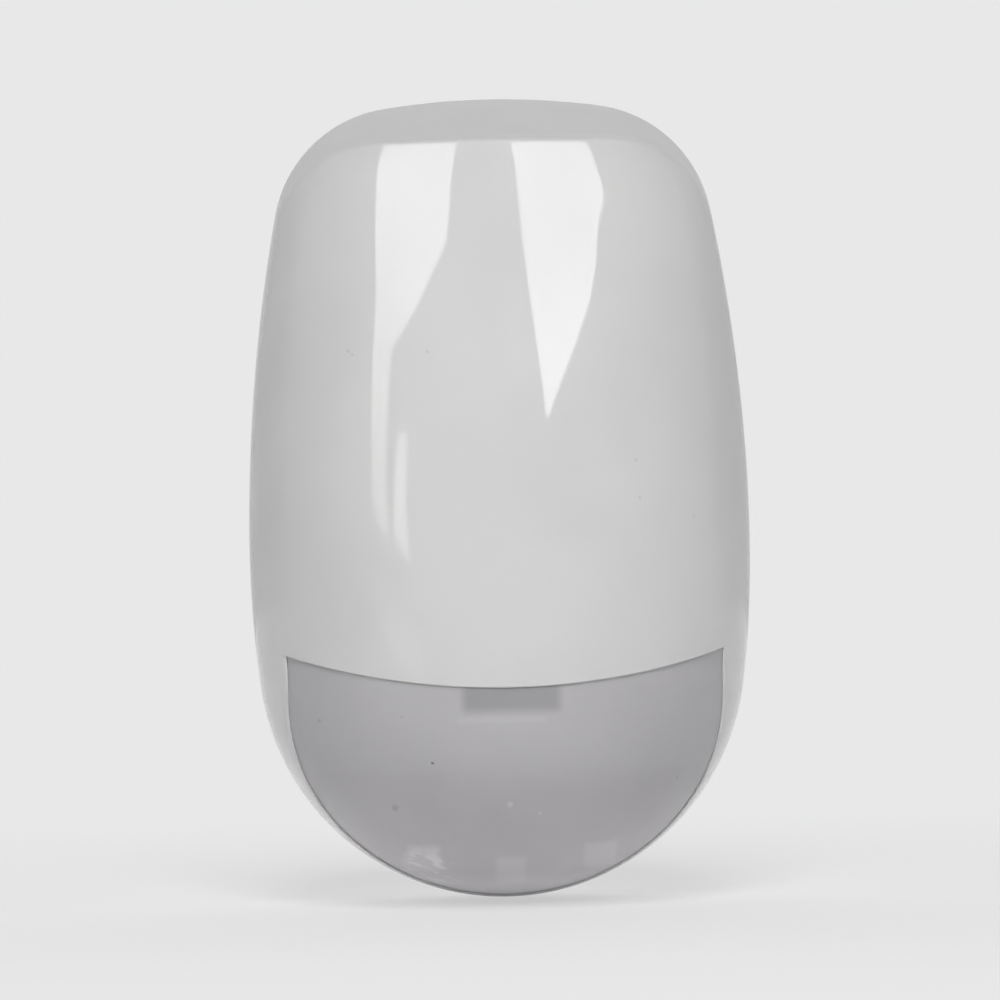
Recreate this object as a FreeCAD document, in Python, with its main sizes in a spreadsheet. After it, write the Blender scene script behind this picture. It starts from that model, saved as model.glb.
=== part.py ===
import FreeCAD, Part
import Sketcher
import math
import os
import re

# Driving sizes in millimetres, angles in degrees. X is across, Z up, and the wall is the plane Y = 0.
# A depth is measured from the wall towards the room, so it lies at Y = -depth.
SIZES = {
    # Front outline, a chain of tangent arcs on each side
    "body_width": 65.4,
    "body_top": 52.3,
    "body_bottom": 52.1,
    "widest_below": 5.9,
    "top_radius": 97,
    "shoulder_radius": 17.2,
    "upper_side_radius": 227,
    "lower_side_radius": 150,
    # Depths of the body and the slope of its roof
    "front_depth": 48,
    "belly_below": 28,
    "front_radius": 200,
    "roof_angle": 16,
    "parting_depth": 12,
    "parting_gap": 0.2,
    "skirt_height": 2,
    # Front cover and its lens opening
    "cover_wall": 2,
    "lip_wall": 0.5,
    "lip_width": 1.7,
    "smile_radius": 100,
    "smile_below": 23.8,
    "cheek_depth": 29.3,
    "cheek_below": 26,
    "chin_depth": 18,
    # Lens, its retainer and the running fits between them
    "fit_gap": 0.05,
    "lens_wall": 0.7,
    "flange_width": 1.5,
    "retainer_wall": 1.5,
    "retainer_band": 2,
    "tab_width": 3.4,
    "tab_spacing": 11.8,
    "tab_top_below": 46.9,
    "side_tab_rise": 2,
    # Rear case
    "case_floor": 2,
    "case_inset": 0.35,
    "wall_inset": 1.2,
    "tongue_wall": 1.2,
    "tongue_gap": 0.15,
    "tongue_height": 4,
    "tongue_draft": 0.2,
    "low_tongue_height": 1.3,
    "low_tongue_below": 15,
    "snap_width": 6,
    "snap_height": 1.5,
    "snap_bite": 0.9,
    "snap_spacing": 13,
    "snap_gap": 0.3,
    "wall_hole_span": 90,
    "wall_hole_diameter": 4.5,
    # Board, its posts and screws
    "board_standoff": 6,
    "board_wall": 1.6,
    "board_gap": 0.5,
    "board_top": 17,
    "board_bottom": 41,
    "post_diameter": 6,
    "upper_post_half": 19,
    "upper_post_height": 9,
    "lower_post_half": 17,
    "lower_post_below": 32,
    "screw_diameter": 2.2,
    "screw_length": 6.5,
    "screw_head_diameter": 4.2,
    "screw_head_height": 1.6,
    "thread_gap": 0.02,
    # Pyroelectric sensor
    "sensor_below": 34,
    "header_diameter": 9.1,
    "header_wall": 1,
    "can_diameter": 8.2,
    "can_height": 3.6,
    "can_wall": 0.25,
    "window_width": 4,
    "window_height": 3,
    "window_rim": 0.3,
    "window_wall": 0.5,
    "lead_diameter": 0.45,
    "lead_circle": 5.08,
    "lead_length": 3.4,
    "lead_hole_gap": 0.15,
    "sleeve_wall": 1.4,
    "sleeve_height": 4.4,
    # Indicator
    "guide_offset": 1.1,
    "guide_below": 25.6,
    "guide_diameter": 2.4,
    "guide_gap": 0.1,
    "led_width": 3.5,
    "led_height": 2.8,
    "led_wall": 1.4,
    "shroud_width": 12.6,
    "shroud_height": 6,
    "shroud_length": 6,
    "shroud_foot": 1.4,
    # Battery, its cradle and contacts
    "cell_diameter": 17,
    "cell_length": 34.5,
    "cell_nub_diameter": 6.5,
    "cell_nub_height": 1,
    "cell_gap": 0.2,
    "cradle_room": 39,
    "cradle_floor": 1.5,
    "cradle_wall": 1.1,
    "cradle_side": 7.5,
    "cradle_end_height": 14,
    "cradle_end_wall": 1.6,
    "cradle_gap": 3.4,
    "contact_wall": 0.4,
    "contact_width": 10,
    "contact_height": 9,
    "contact_tail": 3,
    "contact_reach": 3,
    "spring_wire": 0.8,
    "spring_radius": 3.2,
    "spring_pitch": 1.1,
    # Switches
    "switch_width": 6.2,
    "switch_height": 3.5,
    "plunger_diameter": 3.4,
    "plunger_collar_diameter": 5,
    "plunger_collar": 0.8,
    "tamper_travel": 0.8,
    "tamper_offset": -12,
    "tamper_below": 22,
    "learn_offset": -12,
    "learn_below": 8,
    "learn_travel": 0.3,
    "learn_rise": 1.2,
    "switch_bite": 1.2,
    "stop_gap": 0.1,
    # Radio
    "radio_width": 18,
    "radio_height": 14,
    "radio_wall": 1,
    "radio_offset": 4,
    "radio_centre": 8.5,
    "shield_width": 15,
    "shield_height": 11,
    "shield_rise": 2.2,
    "shield_wall": 0.3,
    "antenna_offset": -10.5,
    "antenna_start": 2.5,
    "antenna_length": 12,
    "antenna_radius": 2.2,
    "antenna_wire": 0.8,
    "antenna_pitch": 1.6,
    # Other parts on the board
    "chip_width": 7,
    "chip_wall": 1.3,
    "chip_offset": 9,
    "chip_below": 8,
    "pin_pitch": 0.8,
    "pin_width": 0.35,
    "pin_reach": 1,
    "pin_wall": 0.2,
    "pins_per_side": 8,
    "crystal_width": 4.6,
    "crystal_length": 11.4,
    "crystal_rise": 3.5,
    "crystal_offset": -2,
    "crystal_below": 8,
    "capacitor_diameter": 6.3,
    "capacitor_height": 7.7,
    "capacitor_foot": 1,
    "capacitor_offset": 15,
    "capacitor_below": 20,
    "resistor_width": 1.6,
    "resistor_height": 0.8,
    "resistor_wall": 0.5,
    "resistor_pitch": 3,
    "resistor_rows_below": 17,
    "resistor_count": 5,
}

doc = FreeCAD.newDocument("MotionSensor")
sheet = doc.addObject("Spreadsheet::Sheet", "Sizes")
for row, (alias, number) in enumerate(SIZES.items(), start=1):
    sheet.set(f"A{row}", alias)
    sheet.set(f"B{row}", str(number))
    sheet.setAlias(f"B{row}", alias)
doc.recompute()

NODES = []
V = FreeCAD.Vector
SIDES = (-1, 1)

# How finely the body is lofted: steps of its level sections and of each section's half ellipse
UPPER_STEPS = 9
SIDE_STEPS = 3
CHIN_STEPS = 11
ELLIPSE_STEPS = 12
LAST_TURN = 86
OVER_ROOF = 4

# How far the roof cutter's shoulder arc runs on, and how much narrower a screw head's crown is
SHOULDER_OVERRUN = 4
HEAD_CROWN = 0.75


def size(alias):
    """The value that the sheet holds under this alias."""
    return float(sheet.get(alias))


def cells(text):
    """The same expression with each alias read from the sheet."""
    return re.sub(r"[a-z][a-z_]+", lambda found: "Sizes." + found.group(0), text)


def bind(thing, **properties):
    """Bind properties of an object to expressions in the sheet's aliases."""
    for name, text in properties.items():
        thing.setExpression(name, cells(text))


def place(thing, x, depth, z):
    """Bind an object's position, its depth counted from the wall."""
    thing.setExpression(".Placement.Base.x", cells(x))
    thing.setExpression(".Placement.Base.y", cells(f"-({depth})"))
    thing.setExpression(".Placement.Base.z", cells(z))


def node(thing, label):
    """Keep an object as a sub-part whose file takes this label."""
    thing.Label = label
    NODES.append(thing)
    return thing


# Depths that several pieces share
BOARD_BACK = "(case_floor + board_standoff)"
BOARD_FRONT = f"({BOARD_BACK} + board_wall)"
CELL_DEPTH = "(case_floor + cradle_floor + cell_gap + cell_diameter / 2)"
CELL_HEIGHT = "(board_top + cradle_gap + cradle_wall + cell_gap + cell_diameter / 2)"


def board_back():
    return size("case_floor") + size("board_standoff")


def board_front():
    return board_back() + size("board_wall")


# Front outline


def crossing(first, first_radius, second, second_radius, side):
    """Where two circles in the XZ plane cross, on one side of the line through their centres."""
    line = second - first
    along = (first_radius ** 2 - second_radius ** 2 + line.Length ** 2) / (2 * line.Length)
    across = math.sqrt(first_radius ** 2 - along ** 2)
    unit = V(line).normalize()
    return first + unit * along + V(-unit.z, 0, unit.x) * (side * across)


def outline_arcs(inset, drop=0):
    """The right half of the outline from top to bottom, as (centre, radius, end point) per arc.

    A drop lowers the top arc and its shoulder, as the roof's slope does.
    """
    half = size("body_width") / 2
    radius = {name: size(f"{name}_radius") for name in
              ("top", "shoulder", "upper_side", "lower_side")}
    top = V(0, 0, size("body_top") - drop - radius["top"])
    upper = V(half - radius["upper_side"], 0, -size("widest_below"))
    lower = V(half - radius["lower_side"], 0, -size("widest_below"))
    shoulder = crossing(top, radius["top"] - radius["shoulder"],
                        upper, radius["upper_side"] - radius["shoulder"], -1)
    drop = size("body_bottom") - size("widest_below")
    chin_radius = (lower.x ** 2 + drop ** 2 - radius["lower_side"] ** 2) / (
        2 * (drop - radius["lower_side"]))
    chin = V(0, 0, chin_radius - size("body_bottom"))
    chain = [(top, radius["top"], shoulder - top), (shoulder, radius["shoulder"], shoulder - upper),
             (upper, radius["upper_side"], V(1, 0, 0)), (lower, radius["lower_side"], chin - lower),
             (chin, chin_radius, V(0, 0, -1))]
    return [(centre, arc_radius - inset, centre + V(way).normalize() * (arc_radius - inset))
            for centre, arc_radius, way in chain]


def arc_edge(centre, radius, start, end):
    """A short arc about a centre between two points on it."""
    middle = centre + ((start + end) * 0.5 - centre).normalize() * radius
    return Part.Arc(start, middle, end).toShape()


def outline_wire(inset, depth, drop=0):
    """The whole outline as a closed wire at one depth."""
    start = V(0, 0, size("body_top") - drop - inset)
    edges = []
    for centre, radius, end in outline_arcs(inset, drop):
        edges.append(arc_edge(centre, radius, start, end))
        start = end
    right = Part.Wire(edges)
    left = right.mirror(V(0, 0, 0), V(1, 0, 0))
    wire = Part.Wire(Part.__sortEdges__(right.Edges + left.Edges))
    wire.translate(V(0, -depth, 0))
    return wire


def outline_loft(back, front):
    """A solid between two outlines, each given as (inset, depth) or (inset, depth, drop)."""
    return Part.makeLoft([outline_wire(*back), outline_wire(*front)], True, True)


def half_width(height, inset):
    """Half the body's width at a height, with the upper side's arc carried on to the top."""
    arcs = outline_arcs(inset)[2:]
    for centre, radius, end in arcs:
        if height >= end.z - 1e-9:
            break
    return centre.x + math.sqrt(radius ** 2 - (height - centre.z) ** 2)


def depth_at(height, inset):
    """The body's depth on its centre line: a front arc above the belly, a quarter ellipse below."""
    belly = -size("belly_below")
    deepest = size("front_depth") - inset
    spring = size("parting_depth") + size("skirt_height")
    if height >= belly:
        radius = size("front_radius") - inset
        return deepest - radius + math.sqrt(radius ** 2 - (height - belly) ** 2)
    fall = (belly - height) / (size("body_bottom") - size("belly_below") - inset)
    return spring + (deepest - spring) * math.sqrt(max(0, 1 - fall ** 2))


def section_heights(inset):
    """Heights of the body's sections, from over the roof down, close together at the tip."""
    upper, lower, chin = outline_arcs(inset)[2:]
    over_roof = size("body_top") + OVER_ROOF
    heights = [over_roof + (upper[2].z - over_roof) * step / UPPER_STEPS
               for step in range(UPPER_STEPS + 1)]
    turn = math.atan2(lower[0].z - lower[2].z, lower[2].x - lower[0].x)
    heights += [lower[0].z - lower[1] * math.sin(turn * step / SIDE_STEPS)
                for step in range(1, SIDE_STEPS + 1)]
    last = math.radians(LAST_TURN)
    heights += [chin[0].z - chin[1] * math.sin(turn + (last - turn) * step / CHIN_STEPS)
                for step in range(1, CHIN_STEPS + 1)]
    return heights


def body_section(height, inset):
    """A level section: half an ellipse in front, straight skirts, and a flat back at the parting."""
    across = half_width(height, inset)
    back = size("parting_depth")
    spring = back + size("skirt_height")
    forward = depth_at(height, inset) - spring
    angles = [math.pi * step / ELLIPSE_STEPS for step in range(ELLIPSE_STEPS + 1)]
    curve = Part.BSplineCurve()
    curve.interpolate(
        Points=[V(across * math.cos(a), -spring - forward * math.sin(a), height) for a in angles],
        Parameters=angles, InitialTangent=V(0, -forward, 0), FinalTangent=V(0, forward, 0),
        Scale=False)
    corners = [V(-across, -spring, height), V(-across, -back, height),
               V(across, -back, height), V(across, -spring, height)]
    lines = [Part.LineSegment(a, b).toShape() for a, b in zip(corners, corners[1:])]
    return Part.Wire([curve.toShape()] + lines)


def roof_cutter(inset):
    """What lies above the roof: the top outline carried forward and down at the roof's angle."""
    top, shoulder = outline_arcs(inset)[:2]
    start = V(0, 0, size("body_top") - inset)
    turn = math.atan2(shoulder[2].z - shoulder[0].z, shoulder[2].x - shoulder[0].x)
    turn += math.radians(SHOULDER_OVERRUN)
    last = shoulder[0] + V(math.cos(turn), 0, math.sin(turn)) * shoulder[1]
    reach = last + V(math.sin(turn), 0, -math.cos(turn)) * size("shoulder_radius") * 4
    above = size("body_top") * 2
    edges = [arc_edge(top[0], top[1], start, top[2]),
             arc_edge(shoulder[0], shoulder[1], top[2], last),
             Part.LineSegment(last, reach).toShape(),
             Part.LineSegment(reach, V(reach.x * 2, 0, above)).toShape(),
             Part.LineSegment(V(reach.x * 2, 0, above), V(0, 0, above)).toShape()]
    right = Part.Wire(edges)
    left = right.mirror(V(0, 0, 0), V(1, 0, 0))
    face = Part.Face(Part.Wire(Part.__sortEdges__(right.Edges + left.Edges)))
    face.translate(V(0, -size("parting_depth"), 0))
    fall = math.tan(math.radians(size("roof_angle")))
    return face.extrude(V(0, -1, -fall) * size("front_depth"))


def egg(inset):
    """The body's outer form in front of the parting plane, moved inwards by an inset."""
    sections = [body_section(height, inset) for height in section_heights(inset)]
    return Part.makeLoft(sections, True, False).cut(roof_cutter(inset)).Solids[0]


def opening(seat_grow, smile_grow):
    """What lies in front of the lens seat and below the smile, grown by a margin at each."""
    cheek = size("cheek_depth") - seat_grow
    chin = size("chin_depth") - seat_grow
    far = 2 * size("body_top")
    side = [(cheek, far), (cheek, -size("cheek_below")), (chin, -size("body_bottom")),
            (chin, -far), (far, -far), (far, far)]
    corners = [V(-far, -depth, height) for depth, height in side]
    block = Part.Face(Part.makePolygon(corners + corners[:1])).extrude(V(2 * far, 0, 0))
    radius = size("smile_radius")
    centre = V(0, 0, radius - size("smile_below"))
    kept = Part.makeCylinder(radius - smile_grow, 2 * far, centre, V(0, -1, 0))
    above = Part.makeBox(2 * far, 2 * far, 4 * far, V(-far, -2 * far, centre.z))
    return block.cut(kept).cut(above)


# Helpers for the bound sub-parts


def block(name, width, depth, height, x, back, z):
    """A bound box, centred on x and z, with its back face at a depth."""
    box = doc.addObject("Part::Box", name)
    bind(box, Length=width, Width=depth, Height=height)
    place(box, f"{x} - ({width}) / 2", f"{back} + {depth}", f"{z} - ({height}) / 2")
    return box


def rod(name, diameter, length, x, back, z):
    """A bound cylinder that runs forward from a depth."""
    cylinder = doc.addObject("Part::Cylinder", name)
    bind(cylinder, Radius=f"({diameter}) / 2", Height=length)
    cylinder.Placement.Rotation = FreeCAD.Rotation(V(1, 0, 0), 90)
    place(cylinder, x, back, z)
    return cylinder


def cross_rod(name, diameter, length, x, depth, z):
    """A bound cylinder that runs across, centred on x."""
    cylinder = doc.addObject("Part::Cylinder", name)
    bind(cylinder, Radius=f"({diameter}) / 2", Height=length)
    cylinder.Placement.Rotation = FreeCAD.Rotation(V(0, 1, 0), 90)
    place(cylinder, f"{x} - ({length}) / 2", depth, z)
    return cylinder


def fused(name, parts):
    joined = doc.addObject("Part::MultiFuse", name)
    joined.Shapes = parts
    return joined


def cut(name, base, *tools):
    """A base with every tool taken out of it."""
    result = doc.addObject("Part::Cut", name)
    result.Base = base
    result.Tool = tools[0] if len(tools) == 1 else fused(name + "Tools", list(tools))
    return result


def group(name, parts):
    gathered = doc.addObject("Part::Compound", name)
    gathered.Links = parts
    return gathered


def feature(name, shape):
    """A sub-part whose shape no bound feature fits."""
    thing = doc.addObject("Part::Feature", name)
    thing.Shape = shape
    return thing


def plane_sketch(body, role):
    """An empty sketch on one of a body's own origin planes."""
    plane = next(part for part in body.Origin.OriginFeatures if part.Role == role)
    sketch = body.newObject("Sketcher::SketchObject", body.Name + "Sketch")
    sketch.AttachmentSupport = [(plane, "")]
    sketch.MapMode = "FlatFace"
    return sketch


def bind_point(sketch, geometry, point, x, y):
    """Bind a sketch point's two coordinates, or lay it on the axis where one is zero."""
    for axis, line, text in (("DistanceX", -2, x), ("DistanceY", -1, y)):
        if text == "0":
            sketch.addConstraint(Sketcher.Constraint("PointOnObject", geometry, point, line))
            continue
        index = sketch.addConstraint(Sketcher.Constraint(axis, -1, 1, geometry, point, 1.0))
        sketch.setExpression(f"Constraints[{index}]", cells(text))


def polygon(sketch, corners):
    """A closed polygon with every corner bound to the sheet, drawn first on a rough circle."""
    count = len(corners)
    angles = [2 * math.pi * k / count for k in range(count)]
    rough = [V(2 + math.cos(angle), 2 + math.sin(angle), 0) for angle in angles]
    first = sketch.GeometryCount
    for k in range(count):
        sketch.addGeometry(Part.LineSegment(rough[k], rough[(k + 1) % count]))
    for k in range(count):
        following = first + (k + 1) % count
        sketch.addConstraint(Sketcher.Constraint("Coincident", first + k, 2, following, 1))
    for k, (x, y) in enumerate(corners):
        bind_point(sketch, first + k, 1, x, y)


def turned(name, corners, x, back, z, turn=180):
    """A body turned about its own axis, from (radius, distance along the axis) corners."""
    body = doc.addObject("PartDesign::Body", name)
    sketch = plane_sketch(body, "XY_Plane")
    polygon(sketch, corners)
    turning = body.newObject("PartDesign::Revolution", name + "Turned")
    turning.Profile = sketch
    turning.ReferenceAxis = (sketch, ["V_Axis"])
    turning.Angle = 360
    body.Placement.Rotation = FreeCAD.Rotation(V(0, 0, 1), turn)
    place(body, x, back, z)
    return body


def coil(radius, wire, pitch, height):
    """A round wire along a helix about Z, from the origin up."""
    path = Part.Wire(Part.makeHelix(pitch, height, radius))
    section = Part.Wire(Part.makeCircle(wire / 2, V(radius, 0, 0), V(0, 1, 0)))
    return path.makePipeShell([section], True, True)


# Front cover


def snap_boxes(grow):
    """Where the cover's snaps lie: two under the roof and one at each side."""
    half = size("snap_width") / 2 + grow
    back = size("parting_depth") + size("snap_gap") + size("snap_height") / 2
    front = back + size("snap_height")
    reach = size("body_top")
    boxes = []
    for side in SIDES:
        middle = side * size("snap_spacing")
        boxes.append(Part.makeBox(2 * half, front - back + 2 * grow, reach,
                                  V(middle - half, -front - grow, size("body_top") / 2)))
        start = 0 if side > 0 else -reach
        boxes.append(Part.makeBox(reach, front - back + 2 * grow, 2 * half,
                                  V(start, -front - grow, -half)))
    return boxes[0].fuse(boxes[1:])


def cover_shape():
    """The glossy shell with its lens opening, a rebated lip around it and the snaps."""
    wall = size("cover_wall")
    shell = egg(0).cut(egg(wall)).cut(opening(0, 0))
    rebate = opening(size("lip_width"), size("lip_width")).common(egg(size("lip_wall")))
    snap = egg(wall / 2).cut(egg(wall + size("snap_bite"))).common(snap_boxes(0))
    return shell.cut(rebate).fuse(snap)


cover = node(feature("Cover", cover_shape()), "front_cover")


# Lens, its retainer and the shroud of the indicator


def lens_insets():
    """How far in the lens and the retainer lie: outer and inner face of each."""
    lens_outer = size("lip_wall") + size("fit_gap")
    lens_inner = lens_outer + size("lens_wall")
    retainer_outer = lens_inner + size("fit_gap")
    return lens_outer, lens_inner, retainer_outer, retainer_outer + size("retainer_wall")


def lens_shape():
    """The moulded lens with the flange that lies behind the cover's lip."""
    outer, inner = lens_insets()[:2]
    flange = size("flange_width")
    return egg(outer).cut(egg(inner)).common(opening(flange, flange))


def retainer_shape():
    """The frame that holds the lens against the lip, with three tabs up from the chin."""
    outer, inner = lens_insets()[2:]
    band = size("flange_width")
    shell = egg(outer).cut(egg(inner))
    ring = shell.common(opening(band, band)).cut(opening(-size("retainer_band"), 0))
    half = size("tab_width") / 2
    reach = 2 * size("body_bottom")
    tabs = []
    for place_across in (-1, 0, 1):
        top = abs(place_across) * size("side_tab_rise") - size("tab_top_below")
        tabs.append(Part.makeBox(2 * half, 2 * size("front_depth"), reach,
                                 V(place_across * size("tab_spacing") - half,
                                   -2 * size("front_depth") - size("chin_depth"), top - reach)))
    strips = shell.common(tabs[0].fuse(tabs[1:])).common(opening(0, 0))
    return ring.fuse(strips)


def shroud_shape():
    """A dark block behind the lens's top edge, with the light guide's bore through it."""
    retainer_outer, retainer_inner = lens_insets()[2:]
    gap = size("fit_gap")
    middle = size("guide_offset")
    half = size("shroud_width") / 2
    low = -size("guide_below") - size("shroud_foot")
    back = size("front_depth") - retainer_inner - size("shroud_length")
    body = Part.makeBox(2 * half, size("front_depth"), size("shroud_height"),
                        V(middle - half, -back - size("front_depth"), low))
    behind = body.common(egg(retainer_inner + gap))
    below = body.common(egg(retainer_outer + gap)).common(opening(0, -gap))
    bore = Part.makeCylinder(size("guide_diameter") / 2 + gap, 2 * size("front_depth"),
                             V(middle, 0, -size("guide_below")), V(0, -1, 0))
    return behind.fuse(below).cut(bore)


lens = node(feature("Lens", lens_shape()), "lens")
retainer = node(feature("Retainer", retainer_shape()), "lens_retainer")
shroud = node(feature("Shroud", shroud_shape()), "led_shroud")


# Rear case


def case_shape():
    """The tray with drafted sides and the tongue that goes up inside the cover."""
    tongue = size("cover_wall") + size("tongue_gap")
    pocket = tongue + size("tongue_wall")
    parting = size("parting_depth")
    tip = parting + size("tongue_height")
    fall = size("tongue_height") * math.tan(math.radians(size("roof_angle")))
    tray = outline_loft((size("wall_inset"), 0), (size("case_inset"), parting - size("parting_gap")))
    root = outline_loft((tongue, parting / 2), (tongue, parting))
    rim = outline_loft((tongue, parting), (tongue + size("tongue_draft"), tip, fall))
    reach = size("body_width") + size("body_top")
    low_tip = Part.makeBox(2 * reach, reach, reach, V(
        -reach, -reach - parting - size("low_tongue_height"), -reach - size("low_tongue_below")))
    case = tray.fuse([root, rim.cut(low_tip).cut(snap_boxes(size("snap_gap")))])
    hollow = outline_loft((pocket, size("case_floor")), (pocket, parting))
    return case.cut(hollow).cut(outline_loft((pocket, parting), (pocket, tip, fall)))


def post_places():
    """The four posts that carry the board, as expressions for x and z."""
    upper = [(f"{side} * upper_post_half", "upper_post_height") for side in SIDES]
    return upper + [(f"{side} * lower_post_half", "-lower_post_below") for side in SIDES]


shell = feature("CaseShell", case_shape())
posts = [rod("Post", "post_diameter", "board_standoff", x, "case_floor", z)
         for x, z in post_places()]
pilots = [rod("Pilot", "screw_diameter + 2 * thread_gap", "board_standoff", x, "case_floor", z)
          for x, z in post_places()]
wall_holes = [rod("WallHole", "wall_hole_diameter", "case_floor", "0", "0",
                  f"{side} * wall_hole_span / 2") for side in SIDES]
tamper_hole = rod("TamperHole", "plunger_diameter + 2 * fit_gap", "case_floor",
                  "tamper_offset", "0", "-tamper_below")
case = cut("Case", fused("CaseBody", [shell] + posts), *pilots, *wall_holes, tamper_hole)
node(case, "rear_case")


# Main board and its screws


def board_outline():
    """The tray's pocket less the board's clearance, as thick as the board."""
    inset = (size("cover_wall") + size("tongue_gap") + size("tongue_wall") + size("board_gap"))
    return outline_loft((inset, board_back()), (inset, board_front()))


board_blank = doc.addObject("PartDesign::Body", "BoardBlank")
blank_sketch = plane_sketch(board_blank, "XZ_Plane")
polygon(blank_sketch, [("-body_width / 2", "-board_bottom"), ("body_width / 2", "-board_bottom"),
                       ("body_width / 2", "board_top"), ("-body_width / 2", "board_top")])
blank_pad = board_blank.newObject("PartDesign::Pad", "BoardPad")
blank_pad.Profile = blank_sketch
bind(blank_pad, Length="board_wall")
place(board_blank, "0", BOARD_BACK, "0")
board = doc.addObject("Part::Common", "BoardPlate")
board.Base = board_blank
board.Tool = feature("BoardOutline", board_outline())
screw_holes = [rod("ScrewHole", "screw_diameter + board_gap", "board_wall", x, BOARD_BACK, z)
               for x, z in post_places()]


def lead_places():
    """The sensor's three leads on their pin circle, as expressions for x and z."""
    ring = "lead_circle / 2"
    return [(ring, "-sensor_below"), (f"-{ring}", "-sensor_below"), ("0", f"-sensor_below - {ring}")]


lead_holes = [rod("LeadHole", "lead_diameter + 2 * lead_hole_gap", "board_wall", x, BOARD_BACK, z)
              for x, z in lead_places()]
node(cut("Board", board, *screw_holes, *lead_holes), "main_board")

head_radius = "screw_head_diameter / 2"
screws = []
for x, z in post_places():
    corners = [("0", "-screw_length"), ("screw_diameter / 2", "-screw_length"),
               ("screw_diameter / 2", "0"), (head_radius, "0"),
               (head_radius, "screw_head_height / 2"),
               (f"{head_radius} * {HEAD_CROWN}", "screw_head_height"), ("0", "screw_head_height")]
    screws.append(turned("BoardScrew", corners, x, BOARD_FRONT, z))
node(group("BoardScrews", screws), "board_screws")


# Pyroelectric sensor

header_radius = "header_diameter / 2"
header = turned("Header", [("0", "0"), (header_radius, "0"), (header_radius, "header_wall / 2"),
                           ("can_diameter / 2 - can_wall", "header_wall / 2"),
                           ("can_diameter / 2 - can_wall", "header_wall"), ("0", "header_wall")],
                "0", BOARD_FRONT, "-sensor_below")
leads = [rod("Lead", "lead_diameter", "lead_length + header_wall / 2", x,
             f"{BOARD_FRONT} - lead_length", z) for x, z in lead_places()]
node(fused("SensorBase", [header] + leads), "sensor_base")

can_radius = "can_diameter / 2"
inner_radius = "can_diameter / 2 - can_wall"
can_top = "can_height"
can = turned("Can", [(inner_radius, "0"), (header_radius, "0"), (header_radius, "can_wall"),
                     (can_radius, "can_wall"), (can_radius, can_top), ("0", can_top),
                     ("0", f"{can_top} - can_wall"), (inner_radius, f"{can_top} - can_wall")],
             "0", f"{BOARD_FRONT} + header_wall / 2", "-sensor_below")
aperture = block("Aperture", "window_width", "can_wall * 3", "window_height",
                 "0", f"{BOARD_FRONT} + header_wall / 2 + can_height - can_wall * 2",
                 "-sensor_below")
node(cut("SensorCan", can, aperture), "sensor_can")
node(block("SensorWindow", "window_width + 2 * window_rim", "window_wall",
           "window_height + 2 * window_rim", "0",
           f"{BOARD_FRONT} + header_wall / 2 + can_height - can_wall - window_wall",
           "-sensor_below"), "sensor_window")
sleeve_inner = "header_diameter / 2 + fit_gap"
sleeve = turned("Sleeve", [(sleeve_inner, "0"), (f"{sleeve_inner} + sleeve_wall", "0"),
                           (f"{sleeve_inner} + sleeve_wall", "sleeve_height"),
                           (sleeve_inner, "sleeve_height")],
                "0", BOARD_FRONT, "-sensor_below")
node(sleeve, "sensor_sleeve")


# Indicator

node(block("Indicator", "led_width", "led_wall", "led_height", "guide_offset", BOARD_FRONT,
           "-guide_below"), "indicator_led")
guide_back = f"({BOARD_FRONT} + led_wall + guide_gap)"
guide_front = "(front_depth - lip_wall - lens_wall - 4 * fit_gap - guide_gap)"
node(rod("Guide", "guide_diameter", f"{guide_front} - {guide_back}", "guide_offset", guide_back,
         "-guide_below"), "light_guide")


# Battery, its cradle and contacts

cradle_height = "(cell_diameter + 2 * cell_gap + 2 * cradle_wall)"
base = block("CradleBase", "cradle_room + 2 * cradle_end_wall", "cradle_side", cradle_height,
             "0", "case_floor", CELL_HEIGHT)
ends = [block("CradleEnd", "cradle_end_wall", "cradle_end_height", cradle_height,
              f"{side} * (cradle_room + cradle_end_wall) / 2", "case_floor", CELL_HEIGHT)
        for side in SIDES]
trough = cross_rod("Trough", "cell_diameter + 2 * cell_gap", "cradle_room", "0", CELL_DEPTH,
                   CELL_HEIGHT)
node(cut("Cradle", fused("CradleBody", [base] + ends), trough), "battery_cradle")

cell_radius = "cell_diameter / 2"
nub_radius = "cell_nub_diameter / 2"
cell_body = "cell_length - cell_nub_height"
cell = turned("Cell", [("0", "0"), (f"{cell_radius} - cell_gap", "0"), (cell_radius, "cell_gap"),
                       (cell_radius, f"{cell_body} - cell_gap"),
                       (f"{cell_radius} - cell_gap", cell_body), (nub_radius, cell_body),
                       (nub_radius, "cell_length"), ("0", "cell_length")],
              "cradle_room / 2 - contact_wall - fit_gap - cell_length", CELL_DEPTH, CELL_HEIGHT,
              turn=-90)
node(cell, "battery_cell")


def contact(name, side):
    """A sprung plate on a cradle end, with a tail down to the board."""
    x = f"{side} * (cradle_room - contact_wall) / 2"
    plate = block(name + "Plate", "contact_wall", "contact_height", "contact_width", x,
                  f"{CELL_DEPTH} - contact_height / 2", CELL_HEIGHT)
    top = f"({CELL_HEIGHT} - contact_width / 4)"
    low = "(board_top - contact_reach)"
    tail = block(name + "Tail", "contact_wall", "contact_tail", f"{top} - {low}", x, BOARD_FRONT,
                 f"({top} + {low}) / 2")
    return fused(name, [plate, tail])


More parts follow.
